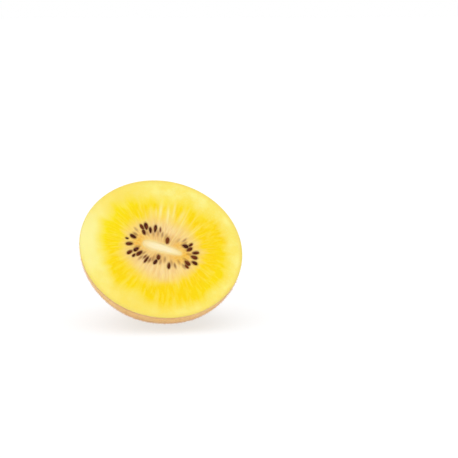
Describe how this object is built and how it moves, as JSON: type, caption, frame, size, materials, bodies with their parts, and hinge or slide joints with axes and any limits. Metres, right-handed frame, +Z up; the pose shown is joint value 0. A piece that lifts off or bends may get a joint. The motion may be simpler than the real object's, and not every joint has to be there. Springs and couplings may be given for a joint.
{
  "type": "golden kiwi fruit half",
  "caption": "Golden kiwi fruit cut in half across: yellow flesh with a cream core and a ring of dark seeds, in a thin brown skin with a blunt beak.",
  "frame": {"origin": "middle of the small flat spot that the fruit rests on, under its round side", "axes": "+Z up; the cut face looks towards -Y and leans back 32 degrees from upright; +X to the viewer's right"},
  "size_m": [0.0537, 0.048, 0.0467],
  "materials": {
    "skin": "matte",
    "flesh": "moist",
    "core": "satin",
    "seed": "gloss"
  },
  "bodies": {
    "root": {"skin": "skin", "flesh": "flesh", "core": "core"}
  },
  "joints": []
}
